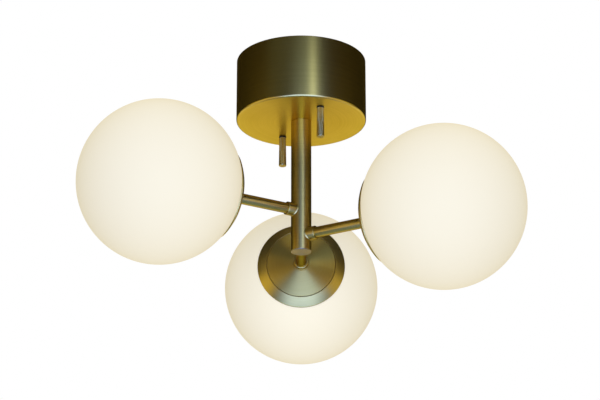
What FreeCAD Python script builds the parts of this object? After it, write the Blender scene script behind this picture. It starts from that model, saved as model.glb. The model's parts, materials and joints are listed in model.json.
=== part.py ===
import FreeCAD, Part
import math
import os

# A semi flush ceiling light. A steel strap is screwed to the ceiling. A brass canopy hides it and
# hangs from its two studs by long knurled nuts. A stem below the canopy carries three level arms,
# one higher than the other two, and each arm ends in a brass cup with an opal glass globe that
# screws off. Millimetres, +Z up. The origin is the centre of the strap's top face, on the ceiling.
# Pieces of an arm are drawn along +X from the stem's axis and turned to their arm afterwards.
# Pieces on the stud line are drawn along +X too and turned to that line afterwards.

Vector = FreeCAD.Vector
ORIGIN = Vector(0, 0, 0)
OUT = Vector(1, 0, 0)
ACROSS = Vector(0, 1, 0)
UP = Vector(0, 0, 1)
DOWN = Vector(0, 0, -1)

# Metric screws, nuts and their room
m4_diameter = 4.0
m4_flats = 7.0
m4_head_height = 2.8
m4_nut_height = 3.2
m4_pan_diameter = 8.0
m4_pan_height = 2.4
m3_diameter = 3.0
m3_head_diameter = 5.5
m3_head_height = 1.8
screw_slot_width = 1.0
screw_slot_depth = 1.0
hole_clearance = 0.3

# Ceiling strap, stepped so that the stud heads stand above its ends
stud_line_angle = -63.6
stud_spacing = 80.0
stud_grip = 14.0
stud_seat = 6.0
strap_end_margin = 11.0
strap_width = 20.0
strap_thickness = 2.0
strap_step = 5.0
strap_ramp = 4.0
strap_bend_radius = 2.0
strap_corner_radius = 4.0
cable_hole_diameter = 12.0
screw_hole_diameter = 4.8
screw_hole_spacing = 48.0
strap_earth_offset = 13.5

# Canopy and the knurled nuts that hold it up
canopy_diameter = 122.5
canopy_height = 61.6
canopy_wall = 1.2
canopy_edge_radius = 2.0
washer_diameter = 7.8
washer_thickness = 1.0
nut_length = 29.0
nut_base_diameter = 6.4
nut_tip_diameter = 7.2
nut_tip_chamfer = 0.5
nut_bore_depth = 20.0
nut_bore_clearance = 0.1
knurl_count = 24
knurl_depth = 0.25

# Stiffening plate inside the canopy, with a tab folded up out of it for the terminal block
stiffener_diameter = 100.0
stiffener_thickness = 1.5
tab_width = 26.0
tab_height = 15.0
stiffener_earth_offset = 26.0

# Terminal block, standing on edge against the tab
pole_count = 3
pole_spacing = 8.5
pole_hole_diameter = 3.4
pole_hole_depth = 7.0
pole_reach = 20.0
block_end_margin = 6.5
block_half_depth = 6.0
block_height = 18.0
terminal_screw_inset = 4.0

# Stem
stem_diameter = 19.0
stem_wall = 1.5
stem_length = 130.4
bush_length = 14.0
nipple_diameter = 10.0
nipple_bore = 7.0
nipple_in_bush = 12.0
nipple_stand = 1.0
lock_washer_diameter = 19.0
lock_washer_thickness = 1.0
stem_nut_flats = 14.0
stem_nut_height = 4.0
cap_face = 2.0
cap_skirt = 5.0
cap_wall = 1.0
cap_edge = 0.4

# Arms: the lower two stand above the stem's end, and the upper one a step higher
lower_arm_rise = 16.5
arm_level_step = 24.0
first_arm_angle = 210.0
second_arm_angle = -30.0
third_arm_angle = 90.0
arm_diameter = 10.0
arm_wall = 1.0
arm_insert = 2.0
collar_diameter = 12.5
collar_length = 6.5
collar_edge = 0.4
hub_ring_diameter = 14.0
hub_ring_length = 3.0
hub_ring_edge = 0.6

# Globe and the two-piece cup that holds it. The proud values are how far the cup stands off the
# glass sphere, at the groove between its two pieces and at its rim.
globe_diameter = 150.0
globe_wall = 2.2
globe_reach = 147.7
hub_inset = 1.0
hub_seat_diameter = 17.0
cup_wall = 1.2
groove_diameter = 66.0
groove_proud = 2.2
groove_edge = 0.4
rim_diameter = 84.6
rim_proud = 1.2
rim_edge = 0.3
thread_clearance = 0.3
flange_wall = 1.5
flange_length = 9.0
sleeve_wall = 1.5
sleeve_shoulder_width = 2.5
sleeve_shoulder_thickness = 1.2
seal_thickness = 0.8
glass_clearance = 0.4

# Lampholder and bulb at the end of each arm
arm_nut_flats = 13.0
arm_nut_height = 3.0
arm_end_stand = 1.0
bracket_thickness = 1.0
bracket_width = 12.0
bracket_bend_radius = 1.5
bracket_leg_margin = 5.0
holder_gap = 3.1
holder_length = 20.0
holder_width = 24.0
holder_height = 14.0
holder_corner = 3.0
holder_screw_offset = 6.0
holder_screw_length = 5.0
pin_spacing = 9.0
pin_diameter = 1.5
pin_length = 6.5
bulb_base_diameter = 15.0
bulb_base_length = 14.0
capsule_diameter = 16.0
capsule_length = 32.0

# Inner leads
lead_diameter = 3.0
lead_gap = 0.2
lead_arm_bend_radius = 9.5
lead_arch_height = 13.0
lead_arch_step = 4.0
lead_end_depth = 4.0

# Levels and places that follow from the values above
strap_end_top = -strap_step
strap_end_bottom = -strap_step - strap_thickness
strap_flat_half = stud_spacing / 2 - stud_seat - strap_ramp
strap_half_length = stud_spacing / 2 + strap_end_margin
canopy_bottom = -canopy_height
canopy_floor = canopy_bottom + canopy_wall
nut_top = canopy_bottom - washer_thickness
stud_bottom = nut_top - stud_grip
stiffener_top = canopy_floor + stiffener_thickness
lock_washer_top = stiffener_top + lock_washer_thickness
nipple_top = lock_washer_top + stem_nut_height + nipple_stand
block_top = stiffener_top + block_height
tab_face = pole_reach + block_half_depth
stem_radius = stem_diameter / 2
stem_bore = stem_diameter - 2 * stem_wall
stem_bottom = canopy_bottom - stem_length
lower_arm_level = stem_bottom + lower_arm_rise
arm_radius = arm_diameter / 2
arm_start = stem_bore / 2 - arm_insert
collar_end = stem_radius + collar_length
globe_radius = globe_diameter / 2
hub_face = globe_reach - globe_radius + hub_inset
hub_inside = hub_face + cup_wall
arm_nut_end = hub_inside + arm_nut_height
bracket_end = arm_nut_end + bracket_thickness
holder_nut_end = bracket_end + arm_nut_height
arm_end = holder_nut_end + arm_end_stand
holder_rear = arm_end + holder_gap
holder_front = holder_rear + holder_length
screw_place = holder_rear + holder_screw_offset
capsule_start = holder_front + bulb_base_length
lead_start = block_top - pole_hole_depth + screw_slot_depth
lead_arch_level = block_top + lead_arch_height
lead_offset = (lead_diameter + lead_gap) / math.sqrt(3)

groove_radius = groove_diameter / 2
groove_place = globe_reach - math.sqrt((globe_radius + groove_proud) ** 2 - groove_radius ** 2)
flange_radius = groove_radius - thread_clearance
flange_bore_radius = flange_radius - flange_wall
flange_end = groove_place + flange_length
seal_end = flange_end + seal_thickness
sleeve_end = seal_end + sleeve_shoulder_thickness
sleeve_radius = groove_radius + sleeve_wall
sleeve_bore_radius = groove_radius - sleeve_shoulder_width
mouth_radius = sleeve_radius + glass_clearance
rim_angle = math.asin(rim_diameter / 2 / (globe_radius + rim_proud))

ARMS = (
    (1, first_arm_angle, lower_arm_level + arm_level_step),
    (2, second_arm_angle, lower_arm_level),
    (3, third_arm_angle, lower_arm_level),
)
STUD_SIDES = (1, -1)


# Basic forms

def rod(diameter, start, length, axis=UP):
    """A round bar from a point along an axis."""
    return Part.makeCylinder(diameter / 2, length, start, axis)


def tube(diameter, bore, start, length, axis=UP):
    """A round tube from a point along an axis."""
    return rod(diameter, start, length, axis).cut(rod(bore, start, length, axis))


def hexagon_nut(flats, bore, start, height, axis=UP):
    """A six-sided nut with a plain bore, or with none for a bolt head."""
    corner = flats / math.sqrt(3)
    angles = [math.radians(60 * side + 30) for side in range(7)]
    outline = Part.makePolygon([Vector(corner * math.cos(a), corner * math.sin(a), 0) for a in angles])
    nut = Part.Face(outline).extrude(UP * height)
    if bore:
        nut = nut.cut(rod(bore, ORIGIN, height))
    nut.Placement = FreeCAD.Placement(start, FreeCAD.Rotation(UP, axis))
    return nut


def rounded_path(points, radii, closed=False):
    """Straight runs through the points, joined by tangent arcs. A radius of 0 leaves a corner."""
    stations = []
    for place, (corner, radius) in enumerate(zip(points, radii)):
        if not radius:
            stations.append((corner, None, corner))
            continue
        back = (points[place - 1] - corner).normalize()
        ahead = (points[(place + 1) % len(points)] - corner).normalize()
        half_angle = back.getAngle(ahead) / 2
        reach = radius / math.tan(half_angle)
        inward = (back + ahead).normalize()
        middle = corner + inward * (radius / math.sin(half_angle) - radius)
        stations.append((corner + back * reach, middle, corner + ahead * reach))
    if closed:
        stations.append(stations[0])
    edges = []
    for previous, station in zip(stations, stations[1:]):
        edges.append(Part.makeLine(previous[2], station[0]))
        if station[1]:
            edges.append(Part.Arc(*station).toShape())
    return Part.Wire(edges)


def turned(outline, axis):
    """A closed outline turned full circle about an axis through the origin."""
    return Part.Face(outline).revolve(ORIGIN, axis, 360)


def spun_arc(start, end):
    """The arc between two points of an outline whose centre lies on the X axis."""
    centre = (end.x ** 2 + end.y ** 2 - start.x ** 2 - start.y ** 2) / (2 * (end.x - start.x))
    radius = math.hypot(start.x - centre, start.y)
    angles = [math.atan2(point.y, point.x - centre) for point in (start, end)]
    middle_angle = sum(angles) / 2
    middle = Vector(centre + radius * math.cos(middle_angle), radius * math.sin(middle_angle), 0)
    return Part.Arc(start, middle, end).toShape()


def break_rim(solid, place, radius, edge_break):
    """Chamfer the circular edge of a piece on the X axis that has this place and radius."""
    rims = []
    for edge in solid.Edges:
        is_circle = isinstance(edge.Curve, Part.Circle)
        if is_circle and abs(edge.Curve.Center.x - place) < 0.01 and abs(edge.Curve.Radius - radius) < 0.01:
            rims.append(edge)
    return solid.makeChamfer(edge_break, rims)


def swept(section, path):
    """A section swept along a path, as bent strip and drawn wire are."""
    return path.makePipeShell([section], True, True)


def flat_section(centre, normal_side, width, thickness):
    """The cross-section of a strip: its width and its thickness along the two given directions."""
    across, through = normal_side
    halves = ((-1, -1), (1, -1), (1, 1), (-1, 1), (-1, -1))
    return Part.makePolygon([centre + across * (width / 2 * a) + through * (thickness / 2 * t)
                             for a, t in halves])


def slotted_screw(diameter, head_diameter, head_height, length, start, axis):
    """A cheese-head screw. The axis points from the head into the work."""
    screw = rod(diameter, ORIGIN, length).fuse(rod(head_diameter, DOWN * head_height, head_height))
    corner = Vector(-head_diameter, -screw_slot_width / 2, -head_height)
    screw = screw.cut(Part.makeBox(2 * head_diameter, screw_slot_width, screw_slot_depth, corner))
    screw.Placement = FreeCAD.Placement(start, FreeCAD.Rotation(UP, axis))
    return screw


# Placing and saving

def on_arm(shape, angle, level):
    """Turn a piece drawn along +X to its arm and bring it to the arm's level."""
    placed = shape.copy()
    placed.rotate(ORIGIN, UP, angle)
    placed.translate(UP * level)
    return placed


def on_stud_line(shape):
    """Turn a piece drawn along +X to the stud line."""
    placed = shape.copy()
    placed.rotate(ORIGIN, UP, stud_line_angle)
    return placed


def save(name, *shapes):
    """Write one piece, or a group of like pieces, as one STEP file."""
    whole = shapes[0] if len(shapes) == 1 else Part.makeCompound(shapes)
    whole.exportStep(f"parts/{name}.step")


# Ceiling strap and studs

def ceiling_strap():
    """A steel strip, flat on the ceiling in its middle and stepped down at its two ends."""
    ramp_end = strap_flat_half + strap_ramp
    flat_level = -strap_thickness / 2
    end_level = strap_end_top - strap_thickness / 2
    stations = ((strap_half_length, end_level), (ramp_end, end_level), (strap_flat_half, flat_level))
    right = [Vector(x, 0, level) for x, level in stations]
    left = [Vector(-x, 0, level) for x, level in reversed(stations)]
    radii = [0, strap_bend_radius, strap_bend_radius, strap_bend_radius, strap_bend_radius, 0]
    section = flat_section(right[0], (ACROSS, UP), strap_width, strap_thickness)
    strap = swept(section, rounded_path(right + left, radii))
    corners = [edge for edge in strap.Edges
               if abs(abs(edge.CenterOfMass.x) - strap_half_length) < 0.01
               and abs(abs(edge.CenterOfMass.y) - strap_width / 2) < 0.01]
    strap = strap.makeFillet(strap_corner_radius, corners)
    holes = [(0, cable_hole_diameter), (strap_earth_offset, m4_diameter)]
    for side in STUD_SIDES:
        holes.append((side * screw_hole_spacing / 2, screw_hole_diameter))
        holes.append((side * stud_spacing / 2, m4_diameter))
    for x, diameter in holes:
        strap = strap.cut(rod(diameter, Vector(x, 0, 0), -strap_end_bottom, DOWN))
    return strap


def strap_stud(side):
    """A long hexagon-head screw that hangs through one end of the strap."""
    top = Vector(side * stud_spacing / 2, 0, strap_end_top)
    return rod(m4_diameter, top, top.z - stud_bottom, DOWN).fuse(
        hexagon_nut(m4_flats, 0, top, m4_head_height))


def stud_lock_nut(side):
    """The nut that locks a stud to the strap from below."""
    return hexagon_nut(m4_flats, m4_diameter,
                       Vector(side * stud_spacing / 2, 0, strap_end_bottom), m4_nut_height, DOWN)


# Canopy

def canopy():
    """A deep round box, open at the ceiling, with a small rounded edge below."""
    outer = canopy_diameter / 2
    inner = outer - canopy_wall
    points = [Vector(0, 0, canopy_bottom), Vector(outer, 0, canopy_bottom), Vector(outer, 0, 0),
              Vector(inner, 0, 0), Vector(inner, 0, canopy_floor), Vector(0, 0, canopy_floor)]
    radii = [0, canopy_edge_radius, 0, 0, canopy_edge_radius - canopy_wall, 0]
    shell = turned(rounded_path(points, radii, closed=True), UP)
    return pierce_floor(shell, canopy_bottom, canopy_wall)


def pierce_floor(shape, bottom, thickness):
    """The holes for the stem's nipple and the two studs, in a floor of the given thickness."""
    shape = shape.cut(rod(nipple_diameter, Vector(0, 0, bottom), thickness))
    for side in STUD_SIDES:
        place = Vector(side * stud_spacing / 2, 0, bottom)
        shape = shape.cut(rod(m4_diameter + 2 * hole_clearance, place, thickness))
    return shape


def nut_washer(side):
    """The dark washer between a thumb nut and the canopy."""
    start = Vector(side * stud_spacing / 2, 0, canopy_bottom)
    return tube(washer_diameter, m4_diameter + 2 * hole_clearance, start, washer_thickness, DOWN)


def knurl_outline(diameter, level):
    """The toothed cross-section of a straight knurl."""
    points = []
    for tooth in range(2 * knurl_count):
        radius = diameter / 2 - knurl_depth * (tooth % 2)
        angle = math.pi * tooth / knurl_count
        points.append(Vector(radius * math.cos(angle), radius * math.sin(angle), level))
    return Part.makePolygon(points + points[:1])


def thumb_nut(side):
    """A long nut, knurled straight along its length, that swells towards a chamfered tip."""
    tip = nut_top - nut_length
    barrel = Part.makeLoft([knurl_outline(nut_base_diameter, nut_top),
                            knurl_outline(nut_tip_diameter, tip + nut_tip_chamfer),
                            knurl_outline(nut_tip_diameter - 2 * nut_tip_chamfer, tip)], True, True)
    bore = rod(m4_diameter + 2 * nut_bore_clearance, Vector(0, 0, nut_top), nut_bore_depth, DOWN)
    nut = barrel.cut(bore)
    nut.translate(Vector(side * stud_spacing / 2, 0, 0))
    return nut


# Stiffening plate and terminal block

def stiffening_plate():
    """A steel disc on the canopy's floor, with a tab cut out on three sides and folded up."""
    plate = rod(stiffener_diameter, Vector(0, 0, canopy_floor), stiffener_thickness)
    plate = pierce_floor(plate, canopy_floor, stiffener_thickness)
    plate = plate.cut(rod(m4_diameter, Vector(0, -stiffener_earth_offset, canopy_floor), stiffener_thickness))
    window = Vector(-tab_width / 2, tab_face + stiffener_thickness, canopy_floor)
    plate = plate.cut(Part.makeBox(tab_width, tab_height, stiffener_thickness, window))
    tab_start = Vector(-tab_width / 2, tab_face, stiffener_top)
    tab = Part.makeBox(tab_width, stiffener_thickness, tab_height, tab_start)
    plate = plate.fuse(tab).removeSplitter()
    for x, level in fixing_screw_places():
        plate = plate.cut(rod(m3_diameter, Vector(x, tab_face, level), stiffener_thickness, ACROSS))
    return plate


def pole_places():
    """How far each pole of the terminal block is from its middle."""
    return [(pole - (pole_count - 1) / 2) * pole_spacing for pole in range(pole_count)]


def fixing_screw_places():
    """The two screws that hold the terminal block to the tab, midway between its poles."""
    level = stiffener_top + block_height / 2
    return [(side * pole_spacing / 2, level) for side in STUD_SIDES]


def terminal_screw_places():
    """Where the terminal screws go in, near the top and the bottom of each pole."""
    levels = (block_top - terminal_screw_inset, stiffener_top + terminal_screw_inset)
    return [(x, level) for x in pole_places() for level in levels]


def terminal_block():
    """A moulded block with a wire hole above and below each pole and a screw to clamp each wire."""
    half_width = (pole_count - 1) / 2 * pole_spacing + block_end_margin
    front = pole_reach - block_half_depth
    block = Part.makeBox(2 * half_width, 2 * block_half_depth, block_height,
                         Vector(-half_width, front, stiffener_top))
    for x in pole_places():
        block = block.cut(rod(pole_hole_diameter, Vector(x, pole_reach, block_top), pole_hole_depth, DOWN))
        block = block.cut(rod(pole_hole_diameter, Vector(x, pole_reach, stiffener_top), pole_hole_depth))
    screw_length = block_half_depth - pole_hole_diameter / 2
    for x, level in terminal_screw_places():
        block = block.cut(rod(m3_diameter, Vector(x, front, level), screw_length, ACROSS))
    for x, level in fixing_screw_places():
        block = block.cut(rod(m3_diameter, Vector(x, front, level), 2 * block_half_depth, ACROSS))
    return block


def terminal_screws():
    """Headless slotted screws, one for each wire hole."""
    front = pole_reach - block_half_depth
    length = block_half_depth - pole_hole_diameter / 2
    screws = []
    for x, level in terminal_screw_places():
        slot = Part.makeBox(m3_diameter, screw_slot_depth, screw_slot_width,
                            Vector(x - m3_diameter / 2, front, level - screw_slot_width / 2))
        screws.append(rod(m3_diameter, Vector(x, front, level), length, ACROSS).cut(slot))
    return screws


def block_fixing_screws():
    """Two screws through the block into the tab."""
    front = pole_reach - block_half_depth
    length = 2 * block_half_depth + stiffener_thickness
    return [slotted_screw(m3_diameter, m3_head_diameter, m3_head_height, length,
                          Vector(x, front, level), ACROSS)
            for x, level in fixing_screw_places()]


def earth_screw(place, thickness, axis):
    """A pan-head screw for the earth wire, as long as the sheet that it screws into."""
    return slotted_screw(m4_diameter, m4_pan_diameter, m4_pan_height, thickness, place, axis)


# Stem

def stem_tube():
    """The stem, pierced on one side for each arm."""
    stem = tube(stem_diameter, stem_bore, Vector(0, 0, canopy_bottom), stem_length, DOWN)
    for number, angle, level in ARMS:
        stem = stem.cut(on_arm(rod(arm_diameter, ORIGIN, stem_diameter, OUT), angle, level))
    return stem


def stem_end_cap():
    """A shallow plug with a slightly broken edge, pressed in flush with the stem's end."""
    radius = stem_bore / 2
    skirt = radius - cap_wall
    inside = stem_bottom + cap_face
    points = [Vector(0, 0, stem_bottom), Vector(radius - cap_edge, 0, stem_bottom),
              Vector(radius, 0, stem_bottom + cap_edge), Vector(radius, 0, inside + cap_skirt),
              Vector(skirt, 0, inside + cap_skirt), Vector(skirt, 0, inside), Vector(0, 0, inside)]
    return turned(Part.makePolygon(points + points[:1]), UP)


# Arm, in its own frame along +X

def arm_collar():
    """A short boss around the arm, coped to sit on the round of the stem."""
    collar = tube(collar_diameter, arm_diameter, ORIGIN, collar_end, OUT)
    collar = break_rim(collar, collar_end, collar_diameter / 2, collar_edge)
    return collar.cut(rod(stem_diameter, DOWN * collar_diameter, 2 * collar_diameter))


def hub_ring():
    """The ring that the cup is clamped against."""
    ring = tube(hub_ring_diameter, arm_diameter, OUT * (hub_face - hub_ring_length), hub_ring_length, OUT)
    return break_rim(ring, hub_face - hub_ring_length, hub_ring_diameter / 2, hub_ring_edge)


def back_plate():
    """The middle of the cup: a shallow spun cone with a flange that takes the globe ring's thread."""
    seat = hub_seat_diameter / 2
    slope = (groove_place - hub_face) / (flange_radius - seat)
    web_at_flange = hub_inside + slope * (flange_bore_radius - seat)
    points = [Vector(hub_face, arm_radius, 0), Vector(hub_face, seat, 0),
              Vector(groove_place, flange_radius, 0), Vector(flange_end, flange_radius, 0),
              Vector(flange_end, flange_bore_radius, 0), Vector(web_at_flange, flange_bore_radius, 0),
              Vector(hub_inside, seat, 0), Vector(hub_inside, arm_radius, 0)]
    plate = turned(Part.makePolygon(points + points[:1]), OUT)
    return break_rim(plate, groove_place, flange_radius, groove_edge)


def seal():
    """A thin flat ring between the back plate's flange and the globe ring's shoulder."""
    return tube(2 * flange_radius, 2 * flange_bore_radius, OUT * flange_end, seal_thickness, OUT)


def on_globe(offset, angle):
    """A point of an outline at a distance from the globe's centre, at an angle from the arm."""
    distance = globe_radius + offset
    return Vector(globe_reach - distance * math.cos(angle), distance * math.sin(angle), 0)


def globe_ring():
    """The outer part of the cup: a curved lip over the glass and a threaded sleeve in its mouth."""
    groove = Vector(groove_place, groove_radius, 0)
    rim = on_globe(rim_proud, rim_angle)
    rim_on_glass = on_globe(0, rim_angle)
    throat = on_globe(0, math.asin(sleeve_radius / globe_radius))
    edges = [spun_arc(groove, rim), Part.makeLine(rim, rim_on_glass), spun_arc(rim_on_glass, throat)]
    points = [throat, Vector(sleeve_end, sleeve_radius, 0), Vector(sleeve_end, sleeve_bore_radius, 0),
              Vector(seal_end, sleeve_bore_radius, 0), Vector(seal_end, groove_radius, 0), groove]
    edges += Part.makePolygon(points).Edges
    ring = turned(Part.Wire(edges), OUT)
    ring = break_rim(ring, groove_place, groove_radius, groove_edge)
    return break_rim(ring, rim.x, rim.y, rim_edge)


def globe_glass():
    """A blown opal globe with a ground round mouth towards the arm."""
    centre = OUT * globe_reach
    inner_radius = globe_radius - globe_wall
    shell = Part.makeSphere(globe_radius, centre, OUT).cut(Part.makeSphere(inner_radius, centre, OUT))
    return shell.cut(rod(2 * mouth_radius, ORIGIN, globe_reach, OUT))


def holder_bracket():
    """A steel strip bent into a fork that holds the lampholder between its legs."""
    side = (holder_width + bracket_thickness) / 2
    base = arm_nut_end + bracket_thickness / 2
    tip = screw_place + bracket_leg_margin
    points = [Vector(tip, side, 0), Vector(base, side, 0), Vector(base, -side, 0), Vector(tip, -side, 0)]
    radii = [0, bracket_bend_radius, bracket_bend_radius, 0]
    section = flat_section(points[0], (UP, ACROSS), bracket_width, bracket_thickness)
    bracket = swept(section, rounded_path(points, radii))
    bracket = bracket.cut(rod(arm_diameter, ORIGIN, holder_rear, OUT))
    return bracket.cut(rod(m3_diameter, Vector(screw_place, -2 * side, 0), 4 * side, ACROSS))


def lampholder():
    """A ceramic block with two pin sockets in front and a hole for the lead behind."""
    holder = Part.makeBox(holder_length, holder_width, holder_height,
                          Vector(holder_rear, -holder_width / 2, -holder_height / 2))
    long_edges = [edge for edge in holder.Edges if abs(edge.tangentAt(0).x) > 0.99]
    holder = holder.makeFillet(holder_corner, long_edges)
    for side in STUD_SIDES:
        socket = Vector(holder_front - pin_length - hole_clearance, side * pin_spacing / 2, 0)
        holder = holder.cut(rod(pin_diameter + 2 * hole_clearance, socket, holder_length, OUT))
        face = Vector(screw_place, side * holder_width / 2, 0)
        holder = holder.cut(rod(m3_diameter, face, holder_screw_length, ACROSS * -side))
    return holder.cut(rod(lead_diameter, OUT * holder_rear, lead_end_depth, OUT))


def holder_screws():
    """The two screws that hold a lampholder in its bracket."""
    screws = []
    for side in STUD_SIDES:
        face = Vector(screw_place, side * (holder_width / 2 + bracket_thickness), 0)
        screws.append(slotted_screw(m3_diameter, m3_head_diameter, m3_head_height,
                                    holder_screw_length + bracket_thickness, face, ACROSS * -side))
    return screws


def bulb_base():
    """The bulb's base, with its two pins in the lampholder."""
    base = rod(bulb_base_diameter, OUT * holder_front, bulb_base_length, OUT)
    for side in STUD_SIDES:
        pin_end = Vector(holder_front - pin_length, side * pin_spacing / 2, 0)
        base = base.fuse(rod(pin_diameter, pin_end, pin_length, OUT))
    return base


def bulb_capsule():
    """The bulb's round-ended capsule."""
    radius = capsule_diameter / 2
    straight = capsule_length - radius
    barrel = rod(capsule_diameter, OUT * capsule_start, straight, OUT)
    dome = Part.makeSphere(radius, OUT * (capsule_start + straight), OUT)
    return barrel.fuse(dome).removeSplitter()


# Inner leads

def lead_route(angle, level):
    """The corners of one lead's route, from its pole to its lampholder.

    The middle pole's lead rises behind the other two, so it arches higher and clears them.
    """
    along = Vector(math.cos(math.radians(angle)), math.sin(math.radians(angle)), 0)
    stem_place = along * lead_offset
    stem_angle = math.degrees(math.atan2(stem_place.y, stem_place.x)) - stud_line_angle
    pole = round(math.cos(math.radians(stem_angle)))
    pole_place = Vector(pole * pole_spacing, pole_reach, 0)
    pole_place = FreeCAD.Rotation(UP, stud_line_angle).multVec(pole_place)
    arch_level = lead_arch_level if pole else lead_arch_level + lead_arch_step
    return [pole_place + UP * lead_start, pole_place + UP * arch_level,
            stem_place + UP * arch_level, stem_place + UP * level,
            along * (holder_rear + lead_end_depth) + UP * level]


def arm_lead(number, angle, level):
    """A two-core lead over the stem's nut, down the nipple and stem, and out along the arm."""
    route = lead_route(angle, level)
    arch_radius = 0.49 * (route[2] - route[1]).Length
    radii = [0, arch_radius, arch_radius, lead_arm_bend_radius, 0]
    path = rounded_path(route, radii)
    section = Part.Wire(Part.makeCircle(lead_diameter / 2, route[0], UP))
    lead = swept(section, path)
    expected = math.pi * lead_diameter ** 2 / 4 * path.Length
    print(f"lead {number}: bends {arch_radius:.1f} and {lead_arm_bend_radius:.1f} mm, "
          f"length {path.Length:.1f} mm, volume over section times length {lead.Volume / expected:.4f}")
    return lead


def build():
    """Make every piece and write it to the parts folder."""
    os.makedirs("parts", exist_ok=True)

    save("ceiling_strap", on_stud_line(ceiling_strap()))
    save("strap_studs", *[on_stud_line(strap_stud(side)) for side in STUD_SIDES])
    save("stud_lock_nuts", *[on_stud_line(stud_lock_nut(side)) for side in STUD_SIDES])
    strap_earth = Vector(strap_earth_offset, 0, -strap_thickness)
    save("strap_earth_screw", on_stud_line(earth_screw(strap_earth, strap_thickness, UP)))

    save("canopy", on_stud_line(canopy()))
    save("nut_washers", *[on_stud_line(nut_washer(side)) for side in STUD_SIDES])
    for number, side in enumerate(STUD_SIDES, 1):
        save(f"thumb_nut_{number}", on_stud_line(thumb_nut(side)))

    save("stiffening_plate", on_stud_line(stiffening_plate()))
    plate_earth = Vector(0, -stiffener_earth_offset, stiffener_top)
    save("canopy_earth_screw", on_stud_line(earth_screw(plate_earth, stiffener_thickness, DOWN)))
    save("terminal_block", on_stud_line(terminal_block()))
    save("terminal_screws", *[on_stud_line(screw) for screw in terminal_screws()])
    save("block_fixing_screws", *[on_stud_line(screw) for screw in block_fixing_screws()])

    save("stem_tube", stem_tube())
    bush_start = Vector(0, 0, canopy_bottom)
    save("stem_bush", tube(stem_bore, nipple_diameter, bush_start, bush_length, DOWN))
    nipple_start = Vector(0, 0, canopy_bottom - nipple_in_bush)
    save("stem_nipple", tube(nipple_diameter, nipple_bore, nipple_start, nipple_top - nipple_start.z))
    washer_start = Vector(0, 0, stiffener_top)
    save("stem_lock_washer", tube(lock_washer_diameter, nipple_diameter, washer_start, lock_washer_thickness))
    nut_start = Vector(0, 0, lock_washer_top)
    save("stem_lock_nut", hexagon_nut(stem_nut_flats, nipple_diameter, nut_start, stem_nut_height))
    save("stem_end_cap", stem_end_cap())

    arm_pieces = {
        "arm_collar": arm_collar(),
        "arm_tube": tube(arm_diameter, arm_diameter - 2 * arm_wall, OUT * arm_start, arm_end - arm_start, OUT),
        "hub_ring": hub_ring(),
        "back_plate": back_plate(),
        "seal": seal(),
        "globe_ring": globe_ring(),
        "globe_glass": globe_glass(),
        "holder_bracket": holder_bracket(),
        "lampholder": lampholder(),
        "bulb_base": bulb_base(),
        "bulb_capsule": bulb_capsule(),
    }
    for number, angle, level in ARMS:
        for name, piece in arm_pieces.items():
            save(f"{name}_{number}", on_arm(piece, angle, level))
        save(f"arm_lead_{number}", arm_lead(number, angle, level))

    arm_nut = hexagon_nut(arm_nut_flats, arm_diameter, OUT * hub_inside, arm_nut_height, OUT)
    holder_nut = hexagon_nut(arm_nut_flats, arm_diameter, OUT * bracket_end, arm_nut_height, OUT)
    save("arm_lock_nuts", *[on_arm(arm_nut, angle, level) for number, angle, level in ARMS])
    save("holder_nuts", *[on_arm(holder_nut, angle, level) for number, angle, level in ARMS])
    save("holder_screws", *[on_arm(screw, angle, level)
                            for number, angle, level in ARMS for screw in holder_screws()])


build()
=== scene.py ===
import json
import math

import bmesh
import bpy
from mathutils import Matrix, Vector


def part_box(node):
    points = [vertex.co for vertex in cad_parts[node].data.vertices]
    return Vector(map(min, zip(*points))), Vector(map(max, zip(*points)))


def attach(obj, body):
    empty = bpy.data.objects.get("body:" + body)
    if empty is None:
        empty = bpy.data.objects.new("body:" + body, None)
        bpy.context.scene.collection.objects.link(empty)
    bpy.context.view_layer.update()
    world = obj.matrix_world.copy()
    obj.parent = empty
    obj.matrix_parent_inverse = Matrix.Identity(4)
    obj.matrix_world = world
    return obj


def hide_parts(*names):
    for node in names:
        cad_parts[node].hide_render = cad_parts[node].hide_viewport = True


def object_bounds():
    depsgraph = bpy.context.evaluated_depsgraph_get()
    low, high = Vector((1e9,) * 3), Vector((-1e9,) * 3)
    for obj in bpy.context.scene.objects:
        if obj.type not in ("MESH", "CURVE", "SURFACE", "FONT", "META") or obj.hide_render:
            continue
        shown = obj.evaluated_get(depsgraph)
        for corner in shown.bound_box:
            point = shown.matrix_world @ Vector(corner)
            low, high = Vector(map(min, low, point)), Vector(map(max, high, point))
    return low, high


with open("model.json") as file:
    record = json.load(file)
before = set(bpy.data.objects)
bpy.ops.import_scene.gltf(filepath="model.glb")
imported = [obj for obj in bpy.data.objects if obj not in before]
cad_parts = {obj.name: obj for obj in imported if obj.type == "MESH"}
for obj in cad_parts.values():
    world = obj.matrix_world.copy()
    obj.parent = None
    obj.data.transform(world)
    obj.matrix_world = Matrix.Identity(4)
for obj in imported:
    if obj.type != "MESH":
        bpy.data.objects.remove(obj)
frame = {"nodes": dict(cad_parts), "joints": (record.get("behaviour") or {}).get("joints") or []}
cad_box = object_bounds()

scene = bpy.context.scene
scene.view_settings.view_transform = "Standard"

# The viewpoint: two metres in front of the light and nearly a metre below the ceiling, looking up
# at it through a long lens, so that the underside of the canopy shows.
viewpoint = (0.0, -2.0586, -0.9484)
upward_tilt = 21.43
camera = bpy.data.objects.new("viewpoint", bpy.data.cameras.new("viewpoint"))
camera.location = viewpoint
camera.rotation_euler = (math.radians(90 + upward_tilt), 0.0, 0.0)
camera.data.lens = 142.39
camera.data.shift_x = -0.002
scene.collection.objects.link(camera)
scene.camera = camera


# The canopy: a deep drum of thin brass, spun over a former so that its underside runs into its
# side round a small radius, and brushed on the lathe in fine rings. The stem's nipple and the two
# studs come through its floor.

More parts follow.
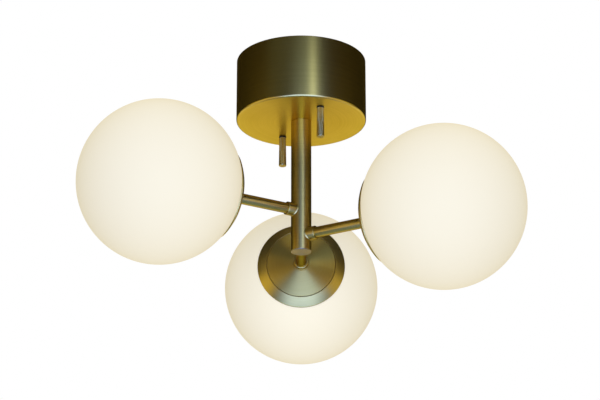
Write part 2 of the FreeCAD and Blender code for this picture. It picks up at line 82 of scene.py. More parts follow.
def rounded(corners, radii, steps=6):
    """A closed outline of (radius, distance) points whose corners are rounded by these radii."""
    outline = []
    for place, radius in enumerate(radii):
        corner = Vector(corners[place])
        if not radius:
            outline.append(corner)
            continue
        back = (Vector(corners[place - 1]) - corner).normalized()
        ahead = (Vector(corners[(place + 1) % len(corners)]) - corner).normalized()
        half_angle = back.angle(ahead) / 2
        reach = radius / math.tan(half_angle)
        middle = corner + (back + ahead).normalized() * (radius / math.sin(half_angle))
        first = corner + back * reach - middle
        last = corner + ahead * reach - middle
        outline += [middle + first.slerp(last, step / steps) * radius for step in range(steps + 1)]
    return outline


def turn_up(name, outline, start, axis, around=128, cut=None):
    """Turn a closed outline about an axis. The UV map holds the turn and the way along the outline.

    cut(angle, distance) says how far a knurl goes into the surface there.
    """
    axis = Vector(axis).normalized()
    side = axis.orthogonal().normalized()
    other = axis.cross(side)
    start = Vector(start)
    shape = bmesh.new()
    rows = []
    for radius, distance in outline:
        if radius < 1e-7:
            rows.append([shape.verts.new(start + axis * distance)])
            continue
        row = []
        for place in range(around):
            angle = math.tau * place / around
            reach = radius - (cut(angle, distance) if cut else 0.0)
            spoke = side * math.cos(angle) + other * math.sin(angle)
            row.append(shape.verts.new(start + axis * distance + spoke * reach))
        rows.append(row)
    ways = [0.0]
    points = [Vector(point) for point in outline]
    for here, there in zip(points, points[1:] + points[:1]):
        ways.append(ways[-1] + (there - here).length)
    turning = shape.loops.layers.uv.new("turning")
    for number, row in enumerate(rows):
        following = rows[(number + 1) % len(rows)]
        if len(row) == 1 and len(following) == 1:
            continue
        for place in range(around):
            step = place + 1
            ring = [(row[place % len(row)], place, number), (row[step % len(row)], step, number),
                    (following[step % len(following)], step, number + 1),
                    (following[place % len(following)], place, number + 1)]
            if len(row) == 1:
                ring = ring[1:]
            elif len(following) == 1:
                ring = ring[:3]
            face = shape.faces.new([corner[0] for corner in ring])
            for loop, (vertex, turn, way) in zip(face.loops, ring):
                loop[turning].uv = (turn / around, ways[way])
    bmesh.ops.recalc_face_normals(shape, faces=shape.faces)
    return piece_from(name, shape)


def piece_from(name, shape):
    """Make the piece itself, smooth but for its true corners."""
    mesh = bpy.data.meshes.new(name)
    shape.to_mesh(mesh)
    shape.free()
    mesh.shade_smooth()
    mesh.set_sharp_from_angle(angle=math.radians(32))
    piece = bpy.data.objects.new(name, mesh)
    scene.collection.objects.link(piece)
    return piece


def fit(piece, body, finish, slot, *nodes):
    """Give a piece its finish and its body, and hide the nodes it stands for."""
    piece.data.materials.append(finish)
    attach(piece, body)
    if nodes:
        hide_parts(*nodes)


def new_finish(name):
    """A bare finish, with its node tree and its shader."""
    finish = bpy.data.materials.new(name)
    finish.use_nodes = True
    return finish, finish.node_tree, finish.node_tree.nodes["Principled BSDF"]


def on_piece(tree):
    """Where a point lies on its piece, in metres."""
    return tree.nodes.new("ShaderNodeTexCoord").outputs["Object"]


def socket(group, name, in_out, value=0.0):
    made = group.interface.new_socket(name=name, in_out=in_out, socket_type="NodeSocketFloat")
    made.default_value = value


def math_node(tree, operation, first, second=None):
    """A sum on one or two values, each a number or another node's output."""
    node = tree.nodes.new("ShaderNodeMath")
    node.operation = operation
    for place, value in enumerate((first, second)):
        if value is None:
            continue
        if isinstance(value, (int, float)):
            node.inputs[place].default_value = value
        else:
            tree.links.new(value, node.inputs[place])
    return node.outputs[0]


def noise_node(tree, vector, scale, detail, roughness=0.5):
    node = tree.nodes.new("ShaderNodeTexNoise")
    node.inputs["Scale"].default_value = scale
    node.inputs["Detail"].default_value = detail
    node.inputs["Roughness"].default_value = roughness
    tree.links.new(vector, node.inputs["Vector"])
    return node.outputs["Fac"]


def range_node(tree, value, low, high, to_low, to_high, easing="LINEAR"):
    """A value carried from one range into another, and held at its ends."""
    node = tree.nodes.new("ShaderNodeMapRange")
    node.interpolation_type = easing
    tree.links.new(value, node.inputs["Value"])
    ends = (("From Min", low), ("From Max", high), ("To Min", to_low), ("To Max", to_high))
    for name, number in ends:
        node.inputs[name].default_value = number
    return node.outputs["Result"]


def colour_between(tree, mask, dark, light):
    node = tree.nodes.new("ShaderNodeMix")
    node.data_type = "RGBA"
    tree.links.new(mask, node.inputs["Factor"])
    node.inputs["A"].default_value = (*dark, 1.0)
    node.inputs["B"].default_value = (*light, 1.0)
    return node.outputs["Result"]


def lathe_brushing():
    """Rings left by abrasive cloth held against the turning work, and slow changes of tone."""
    group = bpy.data.node_groups.new("lathe brushing", "ShaderNodeTree")
    socket(group, "Lines per metre", "INPUT", 2500.0)
    socket(group, "Rings", "OUTPUT")
    socket(group, "Tone", "OUTPUT")
    given = group.nodes.new("NodeGroupInput").outputs
    result = group.nodes.new("NodeGroupOutput").inputs
    turning = group.nodes.new("ShaderNodeUVMap")
    turning.uv_map = "turning"
    split = group.nodes.new("ShaderNodeSeparateXYZ")
    group.links.new(turning.outputs["UV"], split.inputs[0])
    angle = math_node(group, "MULTIPLY", split.outputs["X"], math.tau)
    line = math_node(group, "MULTIPLY", split.outputs["Y"], given["Lines per metre"])
    place = group.nodes.new("ShaderNodeCombineXYZ")
    group.links.new(math_node(group, "COSINE", angle), place.inputs["X"])
    group.links.new(math_node(group, "SINE", angle), place.inputs["Y"])
    group.links.new(line, place.inputs["Z"])
    rings = noise_node(group, place.outputs[0], 0.4, 4.0)
    group.links.new(range_node(group, rings, 0.3, 0.7, 0.0, 1.0), result["Rings"])
    tone = noise_node(group, on_piece(group), 22.0, 3.0, 0.55)
    group.links.new(range_node(group, tone, 0.3, 0.7, 0.0, 1.0), result["Tone"])
    return group


brushing_group = lathe_brushing()


def brushed_brass(name, lines, roughness, along=0.6, edge=(0.9, 0.78, 0.36),
                  dark=(0.53, 0.35, 0.055), light=(0.66, 0.45, 0.085),
                  relief_strength=0.1, gloss_change=0.04):
    """Brass with lathe rings, which set its colour, its gloss and a very fine relief.

    along is how far its gloss is drawn out across the rings, and edge its tint seen edge on.
    """
    finish, tree, shader = new_finish(name)
    shader.inputs["Metallic"].default_value = 1.0
    shader.inputs["Anisotropic"].default_value = along
    shader.inputs["Anisotropic Rotation"].default_value = 0.25
    shader.inputs["Specular Tint"].default_value = (*edge, 1.0)
    rings = tree.nodes.new("ShaderNodeGroup")
    rings.node_tree = brushing_group
    rings.inputs["Lines per metre"].default_value = lines
    marks = rings.outputs["Rings"]
    mixed = math_node(tree, "ADD", math_node(tree, "MULTIPLY", marks, 0.5),
                      math_node(tree, "MULTIPLY", rings.outputs["Tone"], 0.5))
    gloss = range_node(tree, mixed, 0.0, 1.0, roughness + gloss_change, roughness - gloss_change)
    tree.links.new(colour_between(tree, mixed, dark, light), shader.inputs["Base Color"])
    tree.links.new(gloss, shader.inputs["Roughness"])
    relief = tree.nodes.new("ShaderNodeBump")
    relief.inputs["Strength"].default_value = relief_strength
    relief.inputs["Distance"].default_value = 0.00002
    tree.links.new(marks, relief.inputs["Height"])
    tree.links.new(relief.outputs["Normal"], shader.inputs["Normal"])
    tangent = tree.nodes.new("ShaderNodeTangent")
    tangent.direction_type = "UV_MAP"
    tangent.uv_map = "turning"
    tree.links.new(tangent.outputs["Tangent"], shader.inputs["Tangent"])
    return finish


down = (0.0, 0.0, -1.0)
canopy_low, canopy_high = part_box("canopy")
canopy_radius = (canopy_high.x - canopy_low.x) / 2
canopy_depth = canopy_high.z - canopy_low.z
canopy_wall = 0.0012
canopy_bend = 0.002
canopy_lip = 0.0003
nipple_hole = 0.005
canopy_inside = canopy_radius - canopy_wall
canopy_floor = canopy_depth - canopy_wall
drum = [(nipple_hole, canopy_depth), (canopy_radius, canopy_depth), (canopy_radius, 0.0),
        (canopy_inside, 0.0), (canopy_inside, canopy_floor), (nipple_hole, canopy_floor)]
drum_radii = [0.0, canopy_bend, canopy_lip, canopy_lip, canopy_bend - canopy_wall, 0.0]
canopy_brass = brushed_brass("canopy brass", 2600.0, 0.288, 0.3, dark=(0.545, 0.36, 0.058),
                             light=(0.645, 0.44, 0.081), relief_strength=0.02, gloss_change=0.012)
canopy = turn_up("spun_canopy", rounded(drum, drum_radii, 8), (0, 0, canopy_high.z), down, 192)
fit(canopy, "fixture", canopy_brass, "brass", "canopy")


# The two long nuts that hold the canopy up: brass bar, knurled straight along its length for the
# fingers, a little thicker at its tip, each with a dark fibre washer that keeps it off the canopy.

def knurl(teeth, depth, fade_from, fade_to):
    """The cut of a straight knurl, which runs out towards a plain end."""
    def cut(angle, distance):
        tooth = 0.5 - 0.5 * math.cos(angle * teeth)
        run_out = min(1.0, max(0.0, (fade_to - distance) / (fade_to - fade_from)))
        return depth * run_out * tooth ** 0.7
    return cut


nut_brass = brushed_brass("knurled nut brass", 3000.0, 0.42, 0.5, edge=(0.8, 0.7, 0.5),
                          dark=(0.52, 0.37, 0.075), light=(0.66, 0.50, 0.14))
fibre, fibre_tree, fibre_shader = new_finish("black fibre")
fibre_speck = noise_node(fibre_tree, on_piece(fibre_tree), 2500.0, 3.0)
fibre_colour = colour_between(fibre_tree, fibre_speck, (0.010, 0.008, 0.006), (0.030, 0.024, 0.018))
fibre_gloss = range_node(fibre_tree, fibre_speck, 0.3, 0.7, 0.6, 0.8)
fibre_tree.links.new(fibre_colour, fibre_shader.inputs["Base Color"])
fibre_tree.links.new(fibre_gloss, fibre_shader.inputs["Roughness"])
fibre_shader.inputs["Specular IOR Level"].default_value = 0.1
nut_teeth = 24
points_per_tooth = 8
knurl_depth = 0.00025
nut_flare = 0.0004
nut_bore = 0.0021
nut_bore_depth = 0.020
washer_margin = 0.0003
washer_gap = 0.00004
washer_low, washer_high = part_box("nut_washers")
washer_height = washer_high.z - washer_low.z - washer_gap
for number in (1, 2):
    low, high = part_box(f"thumb_nut_{number}")
    nut_x = (low.x + high.x) / 2
    nut_y = (low.y + high.y) / 2
    nut_length = high.z - low.z
    tip_radius = (high.x - low.x) / 2
    base_radius = tip_radius - nut_flare
    nut_corners = [(nut_bore, 0.0), (base_radius, 0.0), (base_radius + nut_flare / 2, nut_length / 2),
                   (tip_radius, nut_length), (0.0, nut_length), (0.0, nut_bore_depth),
                   (nut_bore, nut_bore_depth)]
    nut_outline = rounded(nut_corners, [0.0, 0.0002, 0.02, 0.0006, 0.0, 0.0, 0.0])
    teeth = knurl(nut_teeth, knurl_depth, nut_length - 0.0012, nut_length - 0.0004)
    nut = turn_up(f"knurled_nut_{number}", nut_outline, (nut_x, nut_y, high.z), down,
                  nut_teeth * points_per_tooth, teeth)
    fit(nut, f"thumb_nut_{number}", nut_brass, "brass", f"thumb_nut_{number}")
    washer_radius = base_radius + washer_margin
    washer_corners = [(nut_bore, 0.0), (washer_radius, 0.0), (washer_radius, washer_height),
                      (nut_bore, washer_height)]
    washer_outline = rounded(washer_corners, [0.0, 0.0002, 0.0002, 0.0])
    washer = turn_up(f"fibre_washer_{number}", washer_outline, (nut_x, nut_y, washer_high.z), down, 48)
    fit(washer, "fixture", fibre, "black_fibre", "nut_washers")


# The stem: drawn brass tube, brushed in the lathe, with a plug pressed into its lower end, whose
# thin head covers the end of the tube.

stem_low, stem_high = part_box("stem_tube")
stem_radius = (stem_high.x - stem_low.x) / 2
stem_length = stem_high.z - stem_low.z
stem_wall = 0.0015
stem_bore = stem_radius - stem_wall
plug_head = 0.0006
barrel_length = stem_length - plug_head
# The stem's reflection seen edge on is tinted dark, a painted shade along its edges.
stem_brass = brushed_brass("stem brass", 2600.0, 0.36, 0.6, edge=(0.35, 0.3, 0.25))
barrel = rounded([(stem_bore, 0.0), (stem_radius, 0.0), (stem_radius, barrel_length),
                  (stem_bore, barrel_length)], [0.0, 0.0002, 0.0002, 0.0001])
stem = turn_up("stem_barrel", barrel, (0, 0, stem_high.z), down, 96)
fit(stem, "fixture", stem_brass, "brass", "stem_tube")

plug_low, plug_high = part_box("stem_end_cap")
plug_height = plug_high.z - plug_low.z
plug_radius = stem_bore - 0.0001
plug_inside = stem_bore - 0.001
plug_floor = 0.002
# The plug's brass is painted about half as bright as the other brass, a painted shade on the end disc.
plug_brass_painted_shade = brushed_brass("stem plug brass with painted shade", 3200.0, 0.42, 0.5, edge=(0.9, 0.85, 0.7),
                           dark=(0.25, 0.185, 0.07), light=(0.34, 0.25, 0.10))
plug = rounded([(0.0, 0.0), (stem_radius, 0.0), (stem_radius, plug_head), (plug_radius, plug_head),
                (plug_radius, plug_height), (plug_inside, plug_height), (plug_inside, plug_floor),
                (0.0, plug_floor)], [0.0, 0.0004, 0.0001, 0.0, 0.0, 0.0, 0.0, 0.0])
stem_plug = turn_up("stem_plug", plug, (0, 0, plug_low.z), (0, 0, 1), 96)
fit(stem_plug, "fixture", plug_brass_painted_shade, "brass", "stem_end_cap")


# The arms: three level brass tubes, each through a short collar that is coped to the round of the
# stem and soldered, and each with a ring near its end that the cup is clamped against. All three
# are alike, so their sizes are read from the third, which lies along +Y.

turns = {joint["name"]: joint for joint in frame["joints"]}
arm_axes = {}
arm_roots = {}
for number in (1, 2, 3):
    turn = turns[f"globe_{number}_turn"]
    arm_axes[number] = Vector(turn["axis"]).normalized()
    arm_roots[number] = Vector((0.0, 0.0, turn["pos_m"][2]))


def reach_of(node):
    """Where a piece of the third arm starts and ends along the arm, and its radius."""
    low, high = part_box(f"{node}_3")
    return low.y, high.y, (high.x - low.x) / 2


def cope(piece, root, axis, radius, depth=0.002, sink=0.0001):
    """Shape a collar's inner end to the round of the stem, and sink it a hair into it."""
    for vertex in piece.data.vertices:
        along = (vertex.co - root).dot(axis)
        if along > radius + depth:
            continue
        off = (vertex.co - root) - axis * along
        off.z = 0.0
        seat = math.sqrt(max(radius ** 2 - off.length_squared, 0.0))
        vertex.co += axis * (seat - radius - sink)


arm_start, arm_end, arm_radius = reach_of("arm_tube")
_, collar_end, collar_radius = reach_of("arm_collar")
ring_start, ring_end, ring_radius = reach_of("hub_ring")
arm_bore = arm_radius - 0.001
fillet = 0.0006
# The arms' reflection seen edge on is tinted dark, a painted shade along their edges.
arm_brass = brushed_brass("arm brass", 2800.0, 0.32, 0.25, edge=(0.3, 0.27, 0.2), relief_strength=0.05)
tube = rounded([(arm_bore, arm_start), (arm_radius, arm_start), (arm_radius, arm_end),
                (arm_bore, arm_end)], [0.0, 0.0001, 0.0003, 0.0001])
collar = rounded([(arm_radius, stem_radius), (collar_radius + fillet, stem_radius),
                  (collar_radius, stem_radius + fillet), (collar_radius, collar_end),
                  (arm_radius, collar_end)], [0.0, 0.0, fillet, 0.0005, 0.0])
ring = rounded([(arm_radius, ring_start), (ring_radius, ring_start), (ring_radius, ring_end),
                (arm_radius, ring_end)], [0.0002, 0.0008, 0.0003, 0.0])
for number in (1, 2, 3):
    root, axis = arm_roots[number], arm_axes[number]
    arm = turn_up(f"arm_{number}", tube, root, axis, 64)
    fit(arm, "fixture", arm_brass, "brass", f"arm_tube_{number}")
    coped_collar = turn_up(f"coped_collar_{number}", collar, root, axis, 64)
    cope(coped_collar, root, axis, stem_radius)
    fit(coped_collar, "fixture", arm_brass, "brass", f"arm_collar_{number}")
    stop_ring = turn_up(f"stop_ring_{number}", ring, root, axis, 64)
    fit(stop_ring, "fixture", arm_brass, "brass", f"hub_ring_{number}")


# The cups: each is two spun brass pieces, brushed in the lathe. The shallow cone is clamped on the
# arm, and the curved rim round it is cemented over the globe's mouth and screws onto the cone's
# flange with a thin seal, so that a fine groove shows between the two.

def arc_about(centre, start, end, steps):
    """Points of an outline on a circle whose centre lies on the axis, both ends included."""
    middle = Vector((0.0, centre))
    first = Vector((start[0], start[1] - centre))
    last = Vector((end[0], end[1] - centre))
    return [first.slerp(last, step / steps) * first.length + middle for step in range(steps + 1)]


globe_low, globe_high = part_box("globe_glass_3")
globe_radius = (globe_high.x - globe_low.x) / 2
globe_centre = globe_high.y - globe_radius
cone_start, cone_end, flange_radius = reach_of("back_plate")
rim_start, sleeve_end, rim_radius = reach_of("globe_ring")
cup_wall = 0.0012
seat_radius = 0.0085
flange_bore = flange_radius - 0.0015
groove_radius = flange_radius + 0.00025
sleeve_radius = groove_radius + 0.0015
lip_radius = groove_radius - 0.0025
rim_stand = globe_radius + cup_wall
cone_brass = brushed_brass("cup cone brass", 2200.0, 0.38, 0.75, dark=(0.56, 0.37, 0.053),
                           light=(0.61, 0.41, 0.066), relief_strength=0.03, gloss_change=0.015)
rim_brass = brushed_brass("cup rim brass", 2200.0, 0.38, 0.7, dark=(0.57, 0.38, 0.06),
                          light=(0.62, 0.42, 0.075), relief_strength=0.03, gloss_change=0.015)
seal_rubber, seal_tree, seal_shader = new_finish("silicone seal")
seal_bloom = noise_node(seal_tree, on_piece(seal_tree), 400.0, 3.0)
seal_colour = colour_between(seal_tree, seal_bloom, (0.55, 0.55, 0.53), (0.68, 0.68, 0.66))
seal_tree.links.new(seal_colour, seal_shader.inputs["Base Color"])
seal_shader.inputs["Roughness"].default_value = 0.5
slope = (rim_start - cone_start) / (flange_radius - seat_radius)
web_start = cone_start + cup_wall
web_end = web_start + slope * (flange_bore - seat_radius)
cone_corners = [(arm_radius, cone_start), (seat_radius, cone_start), (flange_radius, rim_start),
                (flange_radius, cone_end), (flange_bore, cone_end), (flange_bore, web_end),
                (seat_radius, web_start), (arm_radius, web_start)]
cone_radii = [0.0, 0.002, 0.0004, 0.0002, 0.0002, 0.0, 0.0, 0.0]
rim_end = globe_centre - math.sqrt(rim_stand ** 2 - rim_radius ** 2)
rim_centre = ((rim_start ** 2 + groove_radius ** 2 - rim_end ** 2 - rim_radius ** 2)
              / (2 * (rim_start - rim_end)))
mouth_angle = math.asin(rim_radius / rim_stand)
mouth_edge = (globe_radius * math.sin(mouth_angle), globe_centre - globe_radius * math.cos(mouth_angle))
throat = (sleeve_radius, globe_centre - math.sqrt(globe_radius ** 2 - sleeve_radius ** 2))
rim_steps = 14
rim_arc = arc_about(rim_centre, (groove_radius, rim_start), (rim_radius, rim_end), rim_steps)
glass_arc = arc_about(globe_centre, mouth_edge, throat, 6)
rim_corners = rim_arc + glass_arc + [
    (sleeve_radius, sleeve_end), (lip_radius, sleeve_end),
    (lip_radius, sleeve_end - cup_wall), (groove_radius, sleeve_end - cup_wall)]
rim_radii = [0.0] * len(rim_corners)
rim_radii[0] = 0.0004
rim_radii[rim_steps] = 0.0005
for number in (1, 2, 3):
    root, axis = arm_roots[number], arm_axes[number]
    cone = turn_up(f"cup_cone_{number}", rounded(cone_corners, cone_radii), root, axis, 160)
    fit(cone, "fixture", cone_brass, "brass", f"back_plate_{number}")
    rim = turn_up(f"cup_rim_{number}", rounded(rim_corners, rim_radii), root, axis, 160)
    fit(rim, f"globe_{number}", rim_brass, "brass", f"globe_ring_{number}")
    frame["nodes"][f"seal_{number}"].material_slots[0].material = seal_rubber


# The globes: hand-blown opal glass, 150 mm across, with a round mouth ground flat towards the arm.
# The opal is warm white all through, has a satin skin, and glows a little.

opal, opal_tree, opal_shader = new_finish("opal glass")
opal_cloud = noise_node(opal_tree, on_piece(opal_tree), 9.0, 3.0)
opal_edge = opal_tree.nodes.new("ShaderNodeLayerWeight")
opal_edge.inputs["Blend"].default_value = 0.35
opal_depth = math_node(opal_tree, "ADD", opal_edge.outputs["Facing"],
                       math_node(opal_tree, "MULTIPLY", opal_cloud, 0.06))
opal_white = colour_between(opal_tree, opal_depth, (0.56, 0.54, 0.47), (0.49, 0.43, 0.30))
opal_glow = colour_between(opal_tree, opal_depth, (0.96, 0.92, 0.82), (0.92, 0.82, 0.56))
opal_gloss = range_node(opal_tree, opal_cloud, 0.3, 0.7, 0.42, 0.5)
opal_tree.links.new(opal_white, opal_shader.inputs["Base Color"])
opal_tree.links.new(opal_gloss, opal_shader.inputs["Roughness"])
opal_tree.links.new(opal_glow, opal_shader.inputs["Emission Color"])
opal_shader.inputs["Emission Strength"].default_value = 0.44
opal_shader.inputs["Specular IOR Level"].default_value = 0.0
globe_wall = 0.0022
mouth_radius = sleeve_radius + 0.0004
bubble = []
for radius, steps in ((globe_radius, 72), (globe_radius - globe_wall, 48)):
    opening = math.asin(mouth_radius / radius)
    angles = [opening + (math.pi - opening) * step / steps for step in range(steps)]
    half = [(radius * math.sin(angle), globe_centre - radius * math.cos(angle)) for angle in angles]
    half.append((0.0, globe_centre + radius))
    bubble += half if radius == globe_radius else half[::-1]
for number in (1, 2, 3):
    globe = turn_up(f"opal_globe_{number}", bubble, arm_roots[number], arm_axes[number], 144)
    fit(globe, f"globe_{number}", opal, "opal_glass", f"globe_glass_{number}")


# The lampholders and bulbs inside the globes: a glazed ceramic block with two pin sockets, held in
# a bent steel fork on the end of the arm, and a capsule bulb with a frosted envelope.

def plain_finish(name, dark, light, grain, low_roughness, high_roughness, metallic=0.0):
    """A finish whose colour, gloss and relief vary a little with a fine grain."""
    finish, tree, shader = new_finish(name)
    shader.inputs["Metallic"].default_value = metallic
    fine = noise_node(tree, on_piece(tree), grain, 4.0, 0.6)
    gloss = range_node(tree, fine, 0.3, 0.7, low_roughness, high_roughness)
    tree.links.new(colour_between(tree, fine, dark, light), shader.inputs["Base Color"])
    tree.links.new(gloss, shader.inputs["Roughness"])
    relief = tree.nodes.new("ShaderNodeBump")
    relief.inputs["Strength"].default_value = 0.1
    relief.inputs["Distance"].default_value = 0.00005
    tree.links.new(fine, relief.inputs["Height"])
    tree.links.new(relief.outputs["Normal"], shader.inputs["Normal"])
    return finish


def dress(finish, *nodes):
    """Give the finish to nodes that stay as they are."""
    for node in nodes:
        for place in frame["nodes"][node].material_slots:
            place.material = finish


ceramic = plain_finish("glazed ceramic", (0.74, 0.73, 0.69), (0.84, 0.83, 0.79), 300.0, 0.18, 0.32)
zinc = plain_finish("yellow passivated zinc", (0.54, 0.47, 0.22), (0.68, 0.61, 0.32), 180.0,
                    0.34, 0.46, metallic=1.0)
frosted = plain_finish("frosted bulb glass", (0.86, 0.85, 0.82), (0.92, 0.91, 0.88), 900.0, 0.45, 0.6)
sheath = plain_finish("lead sheath", (0.72, 0.72, 0.70), (0.82, 0.82, 0.80), 700.0, 0.4, 0.5)
for number in (1, 2, 3):
    dress(ceramic, f"lampholder_{number}", f"bulb_base_{number}")
    dress(frosted, f"bulb_capsule_{number}")
    dress(zinc, f"holder_bracket_{number}")
    dress(sheath, f"arm_lead_{number}")
dress(zinc, "arm_lock_nuts", "holder_nuts", "holder_screws")


# The works above the canopy: a strap of zinc plated steel, passivated yellow, on the ceiling with
# two long studs, and inside the canopy a steel plate, the nipple and nut that carry the stem, and a
# terminal block on a tab.

screw_brass = plain_finish("screw brass", (0.60, 0.45, 0.18), (0.76, 0.60, 0.28), 500.0,
                           0.2, 0.32, metallic=1.0)
nylon = plain_finish("moulded nylon", (0.70, 0.69, 0.64), (0.78, 0.77, 0.72), 900.0, 0.38, 0.5)
dress(zinc, "ceiling_strap", "strap_studs", "stud_lock_nuts", "stiffening_plate", "stem_lock_washer",
      "stem_lock_nut", "stem_nipple", "block_fixing_screws")
dress(screw_brass, "strap_earth_screw", "canopy_earth_screw", "terminal_screws", "stem_bush")
dress(nylon, "terminal_block")


# The studio: soft lamps in front and at both sides, and a narrow soft spot low in front, which
# reaches between the outer globes to the far one. None of them shows in the metal.

def stand(name, light, place, towards):
    """Stand a lamp where it shines towards a point."""
    lamp = bpy.data.objects.new(name, light)
    lamp.location = place
    lamp.rotation_euler = (Vector(towards) - Vector(place)).to_track_quat("-Z", "Y").to_euler()
    lamp.visible_glossy = False
    scene.collection.objects.link(lamp)


middle = (cad_box[0] + cad_box[1]) / 2
lamp_width = 2.0
soft_lamps = (("front_lamp", (0.6, -3.0, -0.7), 7.0), ("left_lamp", (-2.6, -1.8, -0.6), 1.5),
              ("right_lamp", (2.6, -1.2, -0.6), 4.0))
for name, place, watts in soft_lamps:
    soft_lamp = bpy.data.lights.new(name, "AREA")
    soft_lamp.size = lamp_width
    soft_lamp.energy = watts
    stand(name, soft_lamp, place, middle)
low_spot = bpy.data.lights.new("low_spot", "SPOT")
low_spot.energy = 62.0
low_spot.spot_size = math.radians(4.8)
low_spot.spot_blend = 0.4
low_spot.shadow_soft_size = 0.1
far_globe = (0.0, 0.148, -0.1755)
stand("low_spot", low_spot, (0.0, -2.75, -1.3), far_globe)


# The white room: seen as plain white behind the light, while its own light falls off to the sides.
# A round pale floor lies far below, and glows a little towards its edge, so that no edge shows.

world = bpy.data.worlds.new("studio")
world.use_nodes = True
scene.world = world
room = world.node_tree
ray = room.nodes.new("ShaderNodeLightPath").outputs
seen_in = math_node(room, "MAXIMUM", ray["Is Glossy Ray"], ray["Is Transmission Ray"])
seen = math_node(room, "MAXIMUM", ray["Is Camera Ray"], seen_in)
unseen = math_node(room, "SUBTRACT", 1.0, seen)
outward = room.nodes.new("ShaderNodeSeparateXYZ")
room.links.new(room.nodes.new("ShaderNodeTexCoord").outputs["Generated"], outward.inputs[0])
sideways = math_node(room, "POWER", math_node(room, "ABSOLUTE", outward.outputs["X"]), 2.0)
falling = range_node(room, sideways, 0.0, 1.0, 1.12, 0.12)
room_light = math_node(room, "ADD", math_node(room, "MULTIPLY", falling, unseen), seen)
sky = room.nodes["Background"]
sky.inputs["Color"].default_value = (1.0, 1.0, 1.0, 1.0)
room.links.new(room_light, sky.inputs["Strength"])

floor_radius = 8.5
floor_level = -4.2
floor_sides = 96
floor_shape = bmesh.new()
floor_corners = []
for place in range(floor_sides):
    angle = math.tau * place / floor_sides
    corner = (floor_radius * math.cos(angle), floor_radius * math.sin(angle), floor_level)
    floor_corners.append(floor_shape.verts.new(corner))
floor_shape.faces.new(floor_corners)
floor = piece_from("studio_floor", floor_shape)
floor.visible_glossy = False
floor_paint, floor_tree, floor_shader = new_finish("floor paint")
floor_shader.inputs["Roughness"].default_value = 0.9
floor_shader.inputs["Specular IOR Level"].default_value = 0.0
floor_grain = noise_node(floor_tree, on_piece(floor_tree), 3.0, 3.0)
floor_colour = colour_between(floor_tree, floor_grain, (0.92, 0.92, 0.92), (0.95, 0.95, 0.95))
floor_tree.links.new(floor_colour, floor_shader.inputs["Base Color"])
floor_reach = floor_tree.nodes.new("ShaderNodeVectorMath")
floor_reach.operation = "LENGTH"
floor_tree.links.new(on_piece(floor_tree), floor_reach.inputs[0])
floor_glow = range_node(floor_tree, floor_reach.outputs["Value"], 5.0, 9.2, 0.0, 0.17)
floor_tree.links.new(floor_glow, floor_shader.inputs["Emission Strength"])
floor.data.materials.append(floor_paint)


# The surround: a large dark ball round it all, with soft cards of light on it, which shows only as a
# reflection. Blue cards in front and below turn the brass a greyish green, and yellow ones at both
# sides turn it gold.

def soft_card():
    """A rectangle of light with soft edges, placed by its bearing and its elevation in degrees."""
    group = bpy.data.node_groups.new("soft card", "ShaderNodeTree")
    for name in ("Bearing", "Elevation", "Card bearing", "Card elevation", "Half width",
                 "Half height", "Soft edge"):
        socket(group, name, "INPUT")
    socket(group, "Light", "OUTPUT")
    given = group.nodes.new("NodeGroupInput").outputs
    result = group.nodes.new("NodeGroupOutput").inputs
    across = math_node(group, "SUBTRACT", given["Bearing"], given["Card bearing"])
    across = math_node(group, "PINGPONG", across, 180.0)
    up = math_node(group, "SUBTRACT", given["Elevation"], given["Card elevation"])
    sides = []
    for away, half in ((across, "Half width"), (up, "Half height")):
        over = math_node(group, "SUBTRACT", math_node(group, "ABSOLUTE", away), given[half])
        over = math_node(group, "DIVIDE", over, given["Soft edge"])
        sides.append(range_node(group, over, -1.0, 1.0, 1.0, 0.0, "SMOOTHSTEP"))
    group.links.new(math_node(group, "MULTIPLY", *sides), result["Light"])
    return group


def sum_of(tree, light, more):
    """Two colours of light added up, the second a colour or another node's output."""
    node = tree.nodes.new("ShaderNodeMix")
    node.data_type = "RGBA"
    node.blend_type = "ADD"
    node.inputs["Factor"].default_value = 1.0
    tree.links.new(light, node.inputs["A"])
    if isinstance(more, tuple):
        node.inputs["B"].default_value = (*more, 1.0)
    else:
        tree.links.new(more, node.inputs["B"])
    return node.outputs["Result"]


surround_radius = 8.0
surround_sides = 48
surround_step = 6
surround_shape = bmesh.new()
surround_rows = []
for elevation in range(-90, 91, surround_step):
    level = math.radians(elevation)
    row = []
    for place in range(surround_sides):
        angle = math.tau * place / surround_sides
        row.append(surround_shape.verts.new((surround_radius * math.cos(level) * math.cos(angle),
                                             surround_radius * math.cos(level) * math.sin(angle),
                                             surround_radius * math.sin(level))))
    surround_rows.append(row)
for lower, upper in zip(surround_rows, surround_rows[1:]):
    for place in range(surround_sides):
        beside = (place + 1) % surround_sides
        surround_shape.faces.new([lower[place], lower[beside], upper[beside], upper[place]])
surround = piece_from("studio_surround", surround_shape)
for hidden_from in ("camera", "diffuse", "transmission", "shadow", "volume_scatter"):
    setattr(surround, f"visible_{hidden_from}", False)
surround_cloth, surround_tree, surround_shader = new_finish("surround cloth")
surround_shader.inputs["Base Color"].default_value = (0.0, 0.0, 0.0, 1.0)
surround_shader.inputs["Roughness"].default_value = 1.0
surround_shader.inputs["Specular IOR Level"].default_value = 0.0
surround_shader.inputs["Emission Strength"].default_value = 1.0
towards = surround_tree.nodes.new("ShaderNodeVectorMath")
towards.operation = "NORMALIZE"
surround_tree.links.new(on_piece(surround_tree), towards.inputs[0])
axes = surround_tree.nodes.new("ShaderNodeSeparateXYZ")
surround_tree.links.new(towards.outputs[0], axes.inputs[0])
forward = math_node(surround_tree, "MULTIPLY", axes.outputs["Y"], -1.0)
round_way = math_node(surround_tree, "ARCTAN2", axes.outputs["X"], forward)
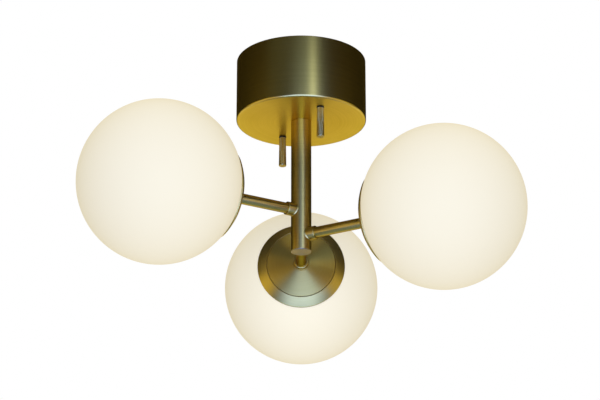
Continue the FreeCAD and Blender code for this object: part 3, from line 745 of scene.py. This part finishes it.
bearing = math_node(surround_tree, "DEGREES", round_way)
height = math_node(surround_tree, "DEGREES", math_node(surround_tree, "ARCSINE", axes.outputs["Z"]))
card_group = soft_card()
card_places = ("Card bearing", "Card elevation", "Half width", "Half height", "Soft edge")
cards = (
    # bearing from the front, elevation, half width, half height and soft edge in degrees, and light
    (180.0, -27.0, 64.0, 21.0, 10.0, (1.0, 1.0, 1.0)),        # white, behind
    (0.0, -76.0, 180.0, 30.0, 12.0, (0.17, 0.30, 0.72)),      # a dim blue ring, far below
    (0.0, -43.0, 40.0, 17.0, 12.0, (1.32, 2.32, 12.0)),       # strong blue, low in front
    (13.0, -16.0, 27.0, 15.0, 10.0, (0.90, 1.54, 7.6)),       # blue, just below level in front
    (20.5, 9.0, 3.0, 18.0, 6.0, (1.85, 2.62, 6.2)),           # a narrow strip, the canopy's streak
    (13.0, 9.0, 14.0, 18.0, 22.0, (0.33, 0.53, 1.40)),        # the faint glow beside the strip
    (-76.0, -14.0, 27.0, 16.0, 6.0, (0.95, 0.86, 0.26)),      # yellow, at the left
    (76.0, -15.0, 27.0, 15.0, 6.0, (0.70, 0.66, 0.26)),       # yellow, at the right
    (-30.0, 24.0, 28.0, 20.0, 16.0, (0.04, 0.06, 0.10)),      # faint, above at the left
    (0.0, 78.0, 180.0, 32.0, 12.0, (0.02, 0.016, 0.01)),      # fainter still, all over the top
)
room_glimmer = (0.012, 0.010, 0.006)
total = None
for *card_place, colour in cards:
    card = surround_tree.nodes.new("ShaderNodeGroup")
    card.node_tree = card_group
    surround_tree.links.new(bearing, card.inputs["Bearing"])
    surround_tree.links.new(height, card.inputs["Elevation"])
    for name, number in zip(card_places, card_place):
        card.inputs[name].default_value = number
    light = colour_between(surround_tree, card.outputs["Light"], (0.0, 0.0, 0.0), colour)
    total = light if total is None else sum_of(surround_tree, total, light)
total = sum_of(surround_tree, total, room_glimmer)
surround_tree.links.new(total, surround_shader.inputs["Emission Color"])
surround.data.materials.append(surround_cloth)
